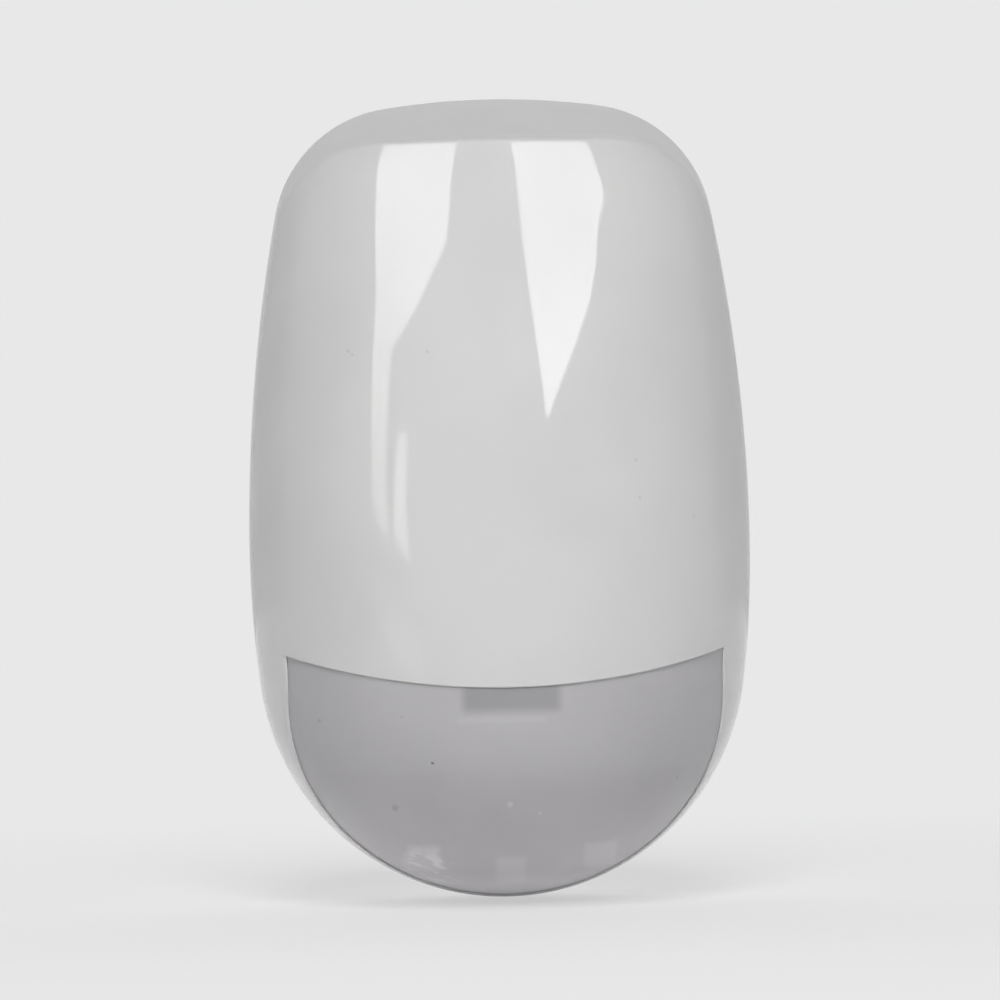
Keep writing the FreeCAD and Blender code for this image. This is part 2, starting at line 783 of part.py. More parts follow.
def cell_spring():
    """The coil between the negative contact and the battery."""
    wire = size("spring_wire")
    start = size("contact_wall") - size("cradle_room") / 2
    stop = size("cradle_room") / 2 - size("contact_wall") - size("fit_gap") - size("cell_length")
    margin = wire / 2 + size("fit_gap")
    spring = coil(size("spring_radius"), wire, size("spring_pitch"), stop - start - 2 * margin)
    spring.rotate(V(0, 0, 0), V(0, 1, 0), 90)
    depth = (size("case_floor") + size("cradle_floor") + size("cell_gap")
             + size("cell_diameter") / 2)
    height = (size("board_top") + size("cradle_gap") + size("cradle_wall") + size("cell_gap")
              + size("cell_diameter") / 2)
    spring.translate(V(start + margin, -depth, height))
    return spring


node(contact("PositiveContact", 1), "positive_contact")
node(contact("NegativeContact", -1), "negative_contact")
node(feature("CellSpring", cell_spring()), "negative_spring")


# Tamper switch under the board and learn switch on it

plunger_bore = "plunger_diameter + 2 * fit_gap"
tamper_body = block("TamperBody", "switch_width", "switch_height", "switch_width",
                    "tamper_offset", f"{BOARD_BACK} - switch_height", "-tamper_below")
tamper_bore = rod("TamperBore", plunger_bore, "switch_bite + stop_gap", "tamper_offset",
                  f"{BOARD_BACK} - switch_height", "-tamper_below")
node(cut("TamperSwitch", tamper_body, tamper_bore), "tamper_switch")
plunger_radius = "plunger_diameter / 2"
collar_radius = "plunger_collar_diameter / 2"
collar_back = "(case_floor + tamper_travel + stop_gap)"
plunger_end = f"({BOARD_BACK} - switch_height + switch_bite)"
plunger = turned("TamperPlunger",
                 [("0", "0"), (plunger_radius, "0"), (plunger_radius, collar_back),
                  (collar_radius, collar_back), (collar_radius, f"{collar_back} + plunger_collar"),
                  (plunger_radius, f"{collar_back} + plunger_collar"),
                  (plunger_radius, plunger_end), ("0", plunger_end)],
                 "tamper_offset", "0", "-tamper_below")
node(plunger, "tamper_plunger")

learn_body = block("LearnBody", "switch_width", "switch_height", "switch_width", "learn_offset",
                   BOARD_FRONT, "-learn_below")
learn_bore = rod("LearnBore", plunger_bore, "switch_bite + learn_travel + stop_gap",
                 "learn_offset",
                 f"{BOARD_FRONT} + switch_height - switch_bite - learn_travel - stop_gap",
                 "-learn_below")
node(cut("LearnSwitch", learn_body, learn_bore), "learn_switch")
node(rod("LearnButton", "plunger_diameter", "switch_bite + learn_rise", "learn_offset",
         f"{BOARD_FRONT} + switch_height - switch_bite", "-learn_below"), "learn_button")


# Radio

node(block("RadioBoard", "radio_width", "radio_wall", "radio_height", "radio_offset", BOARD_FRONT,
           "radio_centre"), "radio_module")
shield_box = block("ShieldBox", "shield_width", "shield_rise", "shield_height", "radio_offset",
                   f"{BOARD_FRONT} + radio_wall", "radio_centre")
shield_room = block("ShieldRoom", "shield_width - 2 * shield_wall", "shield_rise - shield_wall",
                    "shield_height - 2 * shield_wall", "radio_offset",
                    f"{BOARD_FRONT} + radio_wall", "radio_centre")
node(cut("RadioShield", shield_box, shield_room), "radio_shield")


def antenna_shape():
    """The coil antenna, lying along the board."""
    spring = coil(size("antenna_radius"), size("antenna_wire"), size("antenna_pitch"),
                  size("antenna_length"))
    lift = size("antenna_radius") + size("antenna_wire") / 2 + size("fit_gap")
    spring.translate(V(size("antenna_offset"), -board_front() - lift, size("antenna_start")))
    return spring


node(feature("Antenna", antenna_shape()), "antenna_coil")


# Other parts on the board

node(block("Processor", "chip_width", "chip_wall", "chip_width", "chip_offset",
           f"{BOARD_FRONT} + pin_wall / 2", "-chip_below"), "processor")
pins = []
for side in SIDES:
    for place_along in range(int(size("pins_per_side"))):
        along = f"({place_along} - (pins_per_side - 1) / 2) * pin_pitch"
        out = f"{side} * (chip_width + pin_reach) / 2"
        pins.append(block("Pin", "pin_reach", "pin_wall", "pin_width", f"chip_offset + {out}",
                          BOARD_FRONT, f"-chip_below + {along}"))
        pins.append(block("Pin", "pin_width", "pin_wall", "pin_reach", f"chip_offset + {along}",
                          BOARD_FRONT, f"-chip_below + {out}"))
node(group("ProcessorPins", pins), "processor_pins")

crystal_straight = "crystal_length - crystal_width"
crystal_parts = [block("CrystalMiddle", "crystal_width", "crystal_rise", crystal_straight,
                       "crystal_offset", BOARD_FRONT, "-crystal_below")]
crystal_parts += [rod("CrystalEnd", "crystal_width", "crystal_rise", "crystal_offset", BOARD_FRONT,
                      f"-crystal_below + {side} * ({crystal_straight}) / 2") for side in SIDES]
node(fused("Crystal", crystal_parts), "crystal")

foot = block("CapacitorFoot", "capacitor_diameter", "capacitor_foot", "capacitor_diameter",
             "capacitor_offset", BOARD_FRONT, "-capacitor_below")
barrel = rod("CapacitorBarrel", "capacitor_diameter", "capacitor_height - capacitor_foot",
             "capacitor_offset", f"{BOARD_FRONT} + capacitor_foot", "-capacitor_below")
node(fused("Capacitor", [foot, barrel]), "capacitor")

resistors = []
for row_index in range(2):
    for place_along in range(int(size("resistor_count"))):
        along = f"({place_along} - (resistor_count - 1) / 2) * resistor_pitch"
        down = f"-resistor_rows_below - {row_index} * resistor_pitch"
        resistors.append(block("Resistor", "resistor_width", "resistor_wall", "resistor_height",
                               along, BOARD_FRONT, down))
node(group("Resistors", resistors), "chip_resistors")


# Check every object, then write each sub-part

doc.recompute()
for thing in doc.Objects:
    if "Invalid" in thing.State or "Error" in thing.State:
        raise RuntimeError(f"{thing.Name} did not build: {thing.State}")
for thing in NODES:
    if thing.Shape.isNull() or not thing.Shape.isValid():
        raise RuntimeError(f"{thing.Label} has no valid shape")
os.makedirs("parts", exist_ok=True)
for thing in NODES:
    thing.Shape.exportStep(f"parts/{thing.Label}.step")
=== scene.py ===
import math

import bpy
import numpy as np
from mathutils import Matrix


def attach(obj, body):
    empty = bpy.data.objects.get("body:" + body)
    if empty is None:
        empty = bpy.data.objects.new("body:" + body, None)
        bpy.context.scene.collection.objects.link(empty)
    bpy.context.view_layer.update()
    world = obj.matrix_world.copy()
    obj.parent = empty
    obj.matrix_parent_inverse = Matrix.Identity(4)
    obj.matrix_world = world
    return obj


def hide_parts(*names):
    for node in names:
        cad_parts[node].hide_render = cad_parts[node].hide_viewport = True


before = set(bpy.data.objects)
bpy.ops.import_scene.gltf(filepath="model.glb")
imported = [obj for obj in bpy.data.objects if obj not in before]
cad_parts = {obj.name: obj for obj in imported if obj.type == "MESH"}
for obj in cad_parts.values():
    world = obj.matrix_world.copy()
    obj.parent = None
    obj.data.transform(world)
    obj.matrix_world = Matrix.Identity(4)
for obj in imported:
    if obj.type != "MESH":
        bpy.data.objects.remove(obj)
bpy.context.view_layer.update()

MM = 0.001

# Sizes of the body in millimetres, as in the construction, except that BOTTOM and DEEPEST keep the
# skin inside the box of the built solids. A depth is measured from the wall towards the room, so it
# lies at Y = -depth. SPRING is where the front springs from the straight skirt, and PARTING is the
# seam to the rear case.
TOP, BOTTOM, WIDEST, HALF_WIDTH = 52.3, -52.02, -5.9, 32.7
TOP_RADIUS, SHOULDER_RADIUS, UPPER_RADIUS, LOWER_RADIUS = 97.0, 17.2, 227.0, 150.0
DEEPEST, BELLY, FRONT_RADIUS, SPRING, PARTING = 47.95, -28.0, 200.0, 14.0, 12.0
ROOF_FALL = math.tan(math.radians(16))
SMILE_RADIUS, SMILE_BELOW = 100.0, 23.8

# The crease between roof and front is rounded over CREASE in the middle. Towards the sides this
# grows to CREASE_SIDE, over CREASE_SPAN from |x| = CREASE_FROM on and over the first CREASE_FADE of
# the roof's depth above the skirt.
CREASE, CREASE_SIDE = 1.3, 5.0
CREASE_FROM, CREASE_SPAN, CREASE_FADE = 21.0, 9.0, 6.0

# The depths of the lens seat at heights from the lens corner to the chin, and the curve near them
SEAT_HEIGHTS = (-19.5, -22.4, -26.3, -30.4, -34.5, -38.6, -43.0, -52.1)
SEAT_DEPTHS = (29.9, 29.5, 28.6, 27.25, 25.4, 23.6, 22.0, 18.4)
SEAT_DEGREE = 4
SEAT_CURVE = np.polyfit(np.array(SEAT_HEIGHTS) - SEAT_HEIGHTS[0], SEAT_DEPTHS, SEAT_DEGREE)

# Walls. The cover's lip beside the lens opening is LIP_WALL thick over LIP_WIDTH and grows to the
# full wall over LIP_STEP. The lens lies LENS_INSET behind the skin and goes on behind the lip by
# FLANGE.
COVER_WALL, LIP_WALL, LIP_WIDTH, LIP_STEP = 2.0, 0.3, 1.7, 0.3
LENS_INSET, LENS_WALL, FLANGE = 0.34, 0.7, 1.5
EDGE_ROUND = 0.12

# The cover's grid: columns from the skirt to the lens corner and on to the middle, then rows from
# the top down, each zone with its end. ROUND_LENGTH is measured along the outline, the others are
# heights.
SKIRT_ANGLE = 0.035
SIDE_COLUMNS, FRONT_COLUMNS = 30, 56
ROUND_LENGTH, ROUND_ROWS = 14.1, 22
ROOF_END, ROOF_ROWS = 40.0, 58
FRONT_END, FRONT_ROWS = -4.0, 52
SMILE_ROWS, LAST_SMILE_STEPS = 30, (0.985, 0.993, 1.0)
CHEEK_ROWS, CHIN_ROWS = 9, 84

# The lens's grid: its rows follow the smile down to LENS_LEVEL and are level below it
LENS_COLUMNS, LENS_SMILE_ROWS, LENS_LEVEL_ROWS = 131, 26, 60
LENS_LEVEL, LENS_START = -30.0, -20.0

# How often a height is put back into its own formula, until it no longer changes
EDGE_TURNS, CORNER_TURNS = 12, 30

# Points that agree to this many decimals of a millimetre are made one, and edges that turn by less
# than this angle are shaded smooth
MERGE_DIGITS = 4
SHARP_EDGE = math.radians(38)


# Forms of the body

def chained_arcs():
    """The outline's arcs from the top down: centre x, centre z, radius and the lower end's height.

    The shoulder's centre is where two circles cross, about the top's and the upper side's centres,
    each with its own radius less the shoulder's. The chin's radius r solves
    (r + lowest - widest)^2 + across^2 = (lower side radius - r)^2.
    """
    top, upper = TOP - TOP_RADIUS, HALF_WIDTH - UPPER_RADIUS
    far, near = UPPER_RADIUS - SHOULDER_RADIUS, TOP_RADIUS - SHOULDER_RADIUS
    span = math.hypot(upper, WIDEST - top)
    along = (near ** 2 - far ** 2 + span ** 2) / (2 * span)
    off = math.sqrt(near ** 2 - along ** 2)
    ux, uz = upper / span, (WIDEST - top) / span
    sx, sz = along * ux + off * uz, top + along * uz - off * ux
    across, drop = HALF_WIDTH - LOWER_RADIUS, WIDEST - BOTTOM
    chin = (LOWER_RADIUS ** 2 - across ** 2 - drop ** 2) / (2 * (LOWER_RADIUS - drop))
    chin_z = BOTTOM + chin
    low = math.hypot(across, WIDEST - chin_z)
    return [(0.0, top, TOP_RADIUS, top + TOP_RADIUS * (sz - top) / near),
            (sx, sz, SHOULDER_RADIUS, WIDEST + UPPER_RADIUS * (sz - WIDEST) / far),
            (upper, WIDEST, UPPER_RADIUS, WIDEST),
            (across, WIDEST, LOWER_RADIUS, WIDEST - LOWER_RADIUS * (WIDEST - chin_z) / low),
            (0.0, chin_z, chin, BOTTOM)]


ARCS = chained_arcs()
CHIN_START, CHIN_Z, CHIN_RADIUS = ARCS[3][3], ARCS[4][1], ARCS[4][2]


def half_width(z, inset=0.0):
    """The outline's half width at a height:
    centre x + sqrt((radius - inset)^2 - (z - centre z)^2)."""
    result = np.zeros_like(z)
    upper_end = np.inf
    for cx, cz, radius, low in ARCS:
        end = cz + (low - cz) * (radius - inset) / radius
        here = (z <= upper_end) & (z >= end - 1e-9)
        x = cx + np.sqrt(np.maximum((radius - inset) ** 2 - (z - cz) ** 2, 0.0))
        result = np.where(here, x, result)
        upper_end = end
    return np.maximum(result, 0.0)


def outline_top(x):
    """The upper outline's height at x: centre z + sqrt(radius^2 - (|x| - centre x)^2)."""
    x = np.abs(x)
    result = np.zeros_like(x)
    inner = -1.0
    for cx, cz, radius, low in ARCS[:3]:
        outer = cx + math.sqrt(max(radius ** 2 - (low - cz) ** 2, 0.0))
        z = cz + np.sqrt(np.maximum(radius ** 2 - (x - cx) ** 2, 0.0))
        result = np.where((x > inner) & (x <= outer + 1e-6), z, result)
        inner = outer
    return result


def front_depth(z, inset=0.0):
    """The depth on the centre line: above the belly a circle of 200 mm, deepest - 200 +
    sqrt(200^2 - (z - belly)^2), and below it an ellipse's quarter,
    14 + (deepest - 14) * sqrt(1 - ((belly - z) / (belly - bottom))^2)."""
    deepest, radius = DEEPEST - inset, FRONT_RADIUS - inset
    above = deepest - radius + np.sqrt(np.maximum(radius ** 2 - (z - BELLY) ** 2, 0.0))
    fall = (BELLY - z) / (BELLY - BOTTOM - inset)
    below = SPRING + (deepest - SPRING) * np.sqrt(np.clip(1 - fall ** 2, 0.0, 1.0))
    return np.where(z >= BELLY, above, below)


def smooth_lower(a, b, width):
    """The lower of two depths, with the corner between them rounded over a width:
    b + (a - b) * h - width * h * (1 - h), where h = 1/2 + (b - a) / (2 * width), held in 0 to 1."""
    h = np.clip(0.5 + 0.5 * (b - a) / width, 0.0, 1.0)
    return b + (a - b) * h - width * h * (1 - h)


def skin_point(z, angle, inset=0.0, roof=True):
    """A point of the outer form: x = half width * cos(angle) and
    depth = 14 + (front - 14) * sin(angle), kept under the roof plane, whose depth is
    12 + (outline top - z) / tan(16 degrees)."""
    x = half_width(z, inset) * np.cos(angle)
    depth = SPRING + (front_depth(z, inset) - SPRING) * np.sin(angle)
    if roof:
        plane = PARTING + (outline_top(x) - z) / ROOF_FALL
        side = (np.clip((np.abs(x) - CREASE_FROM) / CREASE_SPAN, 0.0, 1.0)
                * np.clip((plane - SPRING) / CREASE_FADE, 0.0, 1.0))
        under = smooth_lower(depth, plane, CREASE + (CREASE_SIDE - CREASE) * side)
        depth = np.where(z > WIDEST, under, depth)
    return np.stack([x, -depth, z], axis=-1)


def smile(x, grow=0.0):
    """The lens opening's upper edge: 76.2 - sqrt(100^2 - x^2), raised where it grows."""
    radius = SMILE_RADIUS - grow
    return SMILE_RADIUS - SMILE_BELOW - np.sqrt(np.maximum(radius ** 2 - x ** 2, 0.0))


def seat_depth(z):
    """The depth of the lens seat: a polynomial of the fourth degree in the height below its top."""
    return np.polyval(SEAT_CURVE, z - SEAT_HEIGHTS[0])


def seat_angle(z, inset=0.0, grow=0.0):
    """The angle at which the skin reaches the seat: asin((seat - 14) / (front - 14))."""
    front = np.maximum(front_depth(z, inset) - SPRING, 1e-6)
    return np.arcsin(np.clip((seat_depth(z) - grow - SPRING) / front, 0.0, 1.0))


def corner_height():
    """The height where the smile meets the seat on the skin: z = smile(half width * cos(angle))."""
    z = np.array(SEAT_HEIGHTS[0])
    for _ in range(CORNER_TURNS):
        z = smile(half_width(z) * np.cos(seat_angle(z)))
    return float(z)


# Grids to meshes

def grid_faces(rows, columns):
    """The quads of a grid whose points are numbered row by row."""
    first = (np.arange(rows - 1)[:, None] * columns + np.arange(columns - 1)).ravel()
    return np.stack([first, first + columns, first + columns + 1, first + 1], axis=1)


def joined(grids):
    """Several point grids as one list of points and quads, with points in one place made one."""
    points, quads, start = [], [], 0
    for grid in grids:
        rows, columns = grid.shape[:2]
        points.append(grid.reshape(-1, 3))
        quads.append(grid_faces(rows, columns) + start)
        start += rows * columns
    points, quads = np.concatenate(points), np.concatenate(quads)
    _, first, inverse = np.unique(np.round(points, MERGE_DIGITS), axis=0,
                                  return_index=True, return_inverse=True)
    return points[first], inverse.ravel()[quads]


def split_faces(quads):
    """Quads with two corners in one place turned into triangles, and those with fewer left out."""
    same = quads == np.roll(quads, -1, axis=1)
    doubled = same.sum(axis=1)
    whole, short = quads[doubled == 0], quads[doubled == 1]
    drop = same[doubled == 1].argmax(axis=1)
    order = (drop[:, None] + np.array([1, 2, 3])) % 4
    return whole, np.take_along_axis(short, order, axis=1)


def point_normals(points, quads):
    """Unit normals at the points, each the sum of its quads' diagonal cross products."""
    across = np.cross(points[quads[:, 2]] - points[quads[:, 0]],
                      points[quads[:, 3]] - points[quads[:, 1]])
    total = np.zeros_like(points)
    for corner in range(4):
        np.add.at(total, quads[:, corner], across)
    return total / np.maximum(np.linalg.norm(total, axis=1, keepdims=True), 1e-12)


def placed(name, data):
    """An object at the origin for a mesh or camera, put into the scene."""
    thing = bpy.data.objects.new(name, data)
    bpy.context.scene.collection.objects.link(thing)
    return thing


def shell_mesh(name, grids, wall, shape_edge):
    """A closed shell: the outer skin, the skin moved in along its normals by a wall (but not past
    the parting plane), and the rims between the two."""
    points, quads = joined(grids)
    normals = point_normals(points, quads)
    middle = np.array([0.0, -SPRING, 0.0])
    if np.sum(normals * (points - middle)) < 0:
        quads, normals = quads[:, ::-1], -normals
    outer = shape_edge(points, normals)
    inner = points - normals * wall(points)[:, None]
    inner[:, 1] = np.minimum(inner[:, 1], -PARTING)
    whole, short = split_faces(quads)
    count = len(points)
    edges = np.concatenate([np.stack([f[:, k], f[:, (k + 1) % f.shape[1]]], axis=1)
                            for f in (whole, short) for k in range(f.shape[1])])
    keys, back = edges[:, 0] * count + edges[:, 1], edges[:, 1] * count + edges[:, 0]
    painted_rim_lift = edges[~np.isin(keys, back)]
    rims = np.stack([painted_rim_lift[:, 1], painted_rim_lift[:, 0], painted_rim_lift[:, 0] + count, painted_rim_lift[:, 1] + count], axis=1)
    faces = (whole.tolist() + short.tolist() + rims.tolist()
             + (whole[:, ::-1] + count).tolist() + (short[:, ::-1] + count).tolist())
    mesh = bpy.data.meshes.new(name)
    mesh.from_pydata((np.concatenate([outer, inner]) * MM).tolist(), [], faces)
    mesh.update()
    mesh.polygons.foreach_set("use_smooth", np.ones(len(mesh.polygons), dtype=bool))
    mesh.set_sharp_from_angle(angle=SHARP_EDGE)
    return placed(name, mesh)


def eased(start, stop, count):
    """Steps that are close together at both ends: start + (stop - start) * (1 - cos(t)) / 2."""
    return start + (stop - start) * (1 - np.cos(np.linspace(0.0, math.pi, count))) / 2


def opening_gap(points):
    """How far a point of the cover lies from the lens opening: the larger of its height above the
    smile and its distance behind the seat."""
    above = points[:, 2] - smile(points[:, 0])
    behind = seat_depth(points[:, 2]) + points[:, 1]
    return np.maximum(above, behind)


# Front cover

def cover_grids():
    """The cover's skin: one grid down to the smile, and one down each side to the chin.

    Rows near the top follow the outline's length s, as z = 52.3 - s^2 / 194, and those of a side
    strip follow the chin's arc. Across, the angle runs from the skirt to the lens corner and on.
    """
    corner_z = corner_height()
    corner = float(seat_angle(np.array(corner_z)))
    side = np.linspace(SKIRT_ANGLE, corner, SIDE_COLUMNS)
    across = np.concatenate([side, np.linspace(corner, math.pi / 2, FRONT_COLUMNS)[1:]])
    across = np.concatenate([across, math.pi - across[-2::-1]])
    length = np.linspace(0.0, ROUND_LENGTH, ROUND_ROWS)
    rounded = TOP - length ** 2 / (2 * TOP_RADIUS)
    level = np.concatenate([rounded, np.linspace(rounded[-1], ROOF_END, ROOF_ROWS)[1:],
                            np.linspace(ROOF_END, FRONT_END, FRONT_ROWS)[1:]])
    z_rows = np.repeat(level[:, None], len(across), axis=1)
    edge = np.full(len(across), corner_z)
    for _ in range(EDGE_TURNS):
        x = half_width(edge) * np.cos(across)
        edge = np.where((across > corner) & (across < math.pi - corner), smile(x), corner_z)
    steps = np.concatenate([np.linspace(0.0, 1.0, SMILE_ROWS)[1:-1], LAST_SMILE_STEPS])[:, None]
    z_rows = np.concatenate([z_rows, level[-1] + steps * (edge - level[-1])])
    angles = np.broadcast_to(across, z_rows.shape)
    upper = skin_point(z_rows, angles)
    ends = z_rows[:, :1]
    skirt = [np.stack([sign * half_width(ends), np.full_like(ends, -PARTING), ends], axis=-1)
             for sign in (1, -1)]
    upper = np.concatenate([skirt[0], upper, skirt[1]], axis=1)

    turn = eased(math.acos((CHIN_Z - CHIN_START) / CHIN_RADIUS), 0.0, CHIN_ROWS)
    z = np.concatenate([np.linspace(corner_z, CHIN_START, CHEEK_ROWS)[:-1],
                        CHIN_Z - CHIN_RADIUS * np.cos(turn)])
    z[-1] = BOTTOM
    reach = seat_angle(z)
    share = (side - SKIRT_ANGLE) / (corner - SKIRT_ANGLE)
    width = np.maximum(reach - SKIRT_ANGLE, 0.0)
    angle = np.minimum(SKIRT_ANGLE, reach)[:, None] + share * width[:, None]
    strip = skin_point(np.repeat(z[:, None], len(share), axis=1), angle, roof=False)
    back = np.stack([half_width(z), np.full_like(z, -PARTING), z], axis=-1)[:, None]
    right = np.concatenate([back, strip], axis=1)
    left = right[:, ::-1] * np.array([-1.0, 1.0, 1.0])
    return [upper, right, left]


def cover_wall(points):
    """The wall: 0.3 mm on the lip within 1.7 mm of the opening, and 2 mm from 2 mm away on."""
    return np.interp(opening_gap(points), [LIP_WIDTH, LIP_WIDTH + LIP_STEP], [LIP_WALL, COVER_WALL])


def cover_edge(points, normals):
    """The skin with its last points before the opening turned in by up to 0.12 mm, as a moulded
    edge is: moved by 0.12 * (1 - gap / 0.12) along the normal."""
    turn = np.clip(1 - opening_gap(points) / EDGE_ROUND, 0.0, 1.0)
    return points - normals * (turn * EDGE_ROUND)[:, None]


# Lens

def lens_grids():
    """The lens's skin: rows run from the smile, raised by the flange, down to the chin's tip, and
    columns from one seat to the other, both hidden behind the cover's lip."""
    share = np.linspace(0.0, 1.0, LENS_COLUMNS)
    radius = CHIN_RADIUS - LENS_INSET
    turn = eased(math.acos((CHIN_Z - LENS_LEVEL) / radius), 0.0, LENS_LEVEL_ROWS)
    level = CHIN_Z - radius * np.cos(turn)
    level[-1] = BOTTOM + LENS_INSET

    def angles(z):
        """The columns' angles at a height: low + (pi - 2 * low) * share."""
        low = seat_angle(z, LENS_INSET, FLANGE)
        return low + (math.pi - 2 * low) * share

    edge = np.full(len(share), LENS_START)
    for _ in range(EDGE_TURNS):
        edge = smile(half_width(edge, LENS_INSET) * np.cos(angles(edge)), FLANGE)
    steps = np.linspace(0.0, 1.0, LENS_SMILE_ROWS)[:-1, None]
    z_rows = np.concatenate([edge + steps * (LENS_LEVEL - edge),
                             np.repeat(level[:, None], len(share), axis=1)])
    return [skin_point(z_rows, angles(z_rows), LENS_INSET, roof=False)]


def lens_wall(points):
    """The lens's wall: 0.7 mm all over."""
    return np.full(len(points), LENS_WALL)


def as_it_is(points, normals):
    """The skin unchanged: the lens's edges are hidden behind the cover's lip."""
    return points


# Materials: a small add-node function and shared pieces

WHITE = (1.0, 1.0, 1.0, 1.0)


def linear(code):
    """An sRGB hex colour as linear RGBA."""
    parts = [int(code[k:k + 2], 16) / 255 for k in (1, 3, 5)]
    return tuple(c / 12.92 if c <= 0.04045 else ((c + 0.055) / 1.055) ** 2.4
                 for c in parts) + (1.0,)


def add(tree, kind, settings=None, **inputs):
    """One node: settings are its own properties, and inputs its sockets, by name or as i and a
    number, each with a value or a socket."""
    made = tree.nodes.new(kind)
    for key, value in (settings or {}).items():
        setattr(made, key, value)
    for key, value in inputs.items():
        number = key[1:] if key[0] == "i" else ""
        socket = made.inputs[int(number) if number.isdigit() else key.replace("_", " ")]
        if isinstance(value, bpy.types.NodeSocket):
            tree.links.new(value, socket)
        else:
            socket.default_value = value
    return made


def calc(tree, how, a, b=0.0, clamp=False):
    """One sum of two values."""
    settings = {"operation": how, "use_clamp": clamp}
    return add(tree, "ShaderNodeMath", settings, i0=a, i1=b).outputs[0]


def mixed(tree, share, a, b):
    """A colour between two."""
    made = add(tree, "ShaderNodeMix", {"data_type": "RGBA"}, i0=share, i6=a, i7=b)
    return made.outputs[2]


def tinted(tree, colour, pattern, weight, code):
    """A colour drawn towards a hex colour by a pattern times a weight."""
    return mixed(tree, calc(tree, "MULTIPLY", pattern, weight), colour, linear(code))


def spread(tree, value, low, high, to_low=0.0, to_high=1.0):
    """A value's range laid on another, smoothly and held at its ends."""
    return add(tree, "ShaderNodeMapRange", {"interpolation_type": "SMOOTHSTEP"},
               Value=value, From_Min=low, From_Max=high, To_Min=to_low, To_Max=to_high).outputs[0]


def place_in_mm(tree):
    """The point on the piece in millimetres."""
    where = add(tree, "ShaderNodeTexCoord").outputs["Object"]
    return add(tree, "ShaderNodeVectorMath", {"operation": "SCALE"}, i0=where, i3=1 / MM).outputs[0]


def noise(tree, where, size_mm, detail=3.0):
    """Cloudy noise whose lumps are about size_mm across."""
    made = add(tree, "ShaderNodeTexNoise", Vector=where, Scale=1 / size_mm, Detail=detail)
    return made.outputs["Fac"]


def bumped(tree, height, lift_mm):
    """A surface normal raised by a height pattern of lift_mm."""
    made = add(tree, "ShaderNodeBump", Height=height, Distance=lift_mm * MM, Strength=1.0)
    return made.outputs[0]


def new_material(name):
    """An empty node material with its output."""
    made = bpy.data.materials.new(name)
    made.use_nodes = True
    made.node_tree.nodes.clear()
    return made, made.node_tree, made.node_tree.nodes.new("ShaderNodeOutputMaterial")


def finish_surface(tree, output, surface):
    """Links a shader to the material's output."""
    tree.links.new(surface, output.inputs["Surface"])


def moulded(name, colour, shade, roughness, grain_mm, lift_mm, coat=0.0):
    """Moulded plastic: the eye gets cloudy colour between two shades, an uneven sheen and a fine
    skin."""
    material, tree, output = new_material(name)
    where = place_in_mm(tree)
    cloud = spread(tree, noise(tree, where, size_mm=9.0), 0.35, 0.65)
    grain = noise(tree, where, grain_mm, detail=4.0)
    rough = spread(tree, noise(tree, where, size_mm=4.0), 0.3, 0.7,
                   to_low=roughness * 0.85, to_high=roughness * 1.15)
    base = mixed(tree, cloud, linear(colour), linear(shade))
    surface = add(tree, "ShaderNodeBsdfPrincipled", Base_Color=base, Roughness=rough,
                  Coat_Weight=coat, Normal=bumped(tree, grain, lift_mm))
    finish_surface(tree, output, surface.outputs[0])
    return material


def metal(name, colour, shade, roughness, grain_mm, stretch=(1.0, 1.0, 1.0)):
    """Metal: the eye gets a drawn or plated grain in its sheen, and duller patches between brighter
    ones, which are rougher by up to 0.15."""
    material, tree, output = new_material(name)
    where = add(tree, "ShaderNodeVectorMath", {"operation": "MULTIPLY"},
                i0=place_in_mm(tree), i1=stretch).outputs[0]
    dull = spread(tree, noise(tree, where, size_mm=3.0), 0.4, 0.7)
    grain = noise(tree, where, grain_mm, detail=4.0)
    rough = calc(tree, "ADD", calc(tree, "MULTIPLY", dull, 0.15), roughness)
    base = mixed(tree, dull, linear(colour), linear(shade))
    surface = add(tree, "ShaderNodeBsdfPrincipled", Base_Color=base, Metallic=1.0,
                  Roughness=rough, Normal=bumped(tree, grain, lift_mm=0.004))
    finish_surface(tree, output, surface.outputs[0])
    return material


def soft_box(tree, x, z, box, soft):
    """A patch in x and z, one inside and fading to nothing over a soft width at its sides."""
    left, right, low, high = box
    across = calc(tree, "MULTIPLY", spread(tree, x, left - soft, left + soft),
                  spread(tree, x, right - soft, right + soft, 1.0, 0.0))
    upright = calc(tree, "MULTIPLY", spread(tree, z, low - soft, low + soft),
                   spread(tree, z, high - soft, high + soft, 1.0, 0.0))
    return calc(tree, "MULTIPLY", across, upright)


def marks(tree, x, z, spots):
    """Small marks, each a soft dot at x and z with a radius: their sum, held at one."""
    total = 0.0
    for across, height, radius in spots:
        dx, dz = calc(tree, "SUBTRACT", x, across), calc(tree, "SUBTRACT", z, height)
        away = calc(tree, "SQRT", calc(tree, "ADD", calc(tree, "MULTIPLY", dx, dx),
                                       calc(tree, "MULTIPLY", dz, dz)))
        dot = spread(tree, away, radius * MARK_CORE, radius, 1.0, 0.0)
        total = calc(tree, "ADD", total, dot, clamp=True)
    return total


# Marks in millimetres: across, height and radius, of which the share MARK_CORE is full strength
MARK_CORE = 0.4
COVER_MARKS = [(-19.4, 19.2, 0.3), (-18.9, 18.7, 0.25), (-9.4, 18.8, 0.3), (16.8, 4.6, 0.3),
               (17.2, -0.2, 0.3), (24.3, -2.7, 0.2)]
LENS_DARK_MARKS = [(-9.9, -33.2, 0.2), (-9.75, -33.25, 0.2)]
LENS_GREY_MARKS = [(-14.6, -39.1, 0.6), (21.6, -36.2, 0.2), (-24.0, -27.9, 0.3),
                   (-13.6, -27.4, 0.2)]
LENS_PALE_MARKS = [(-0.1, -38.7, 0.5), (3.7, -39.9, 0.3)]
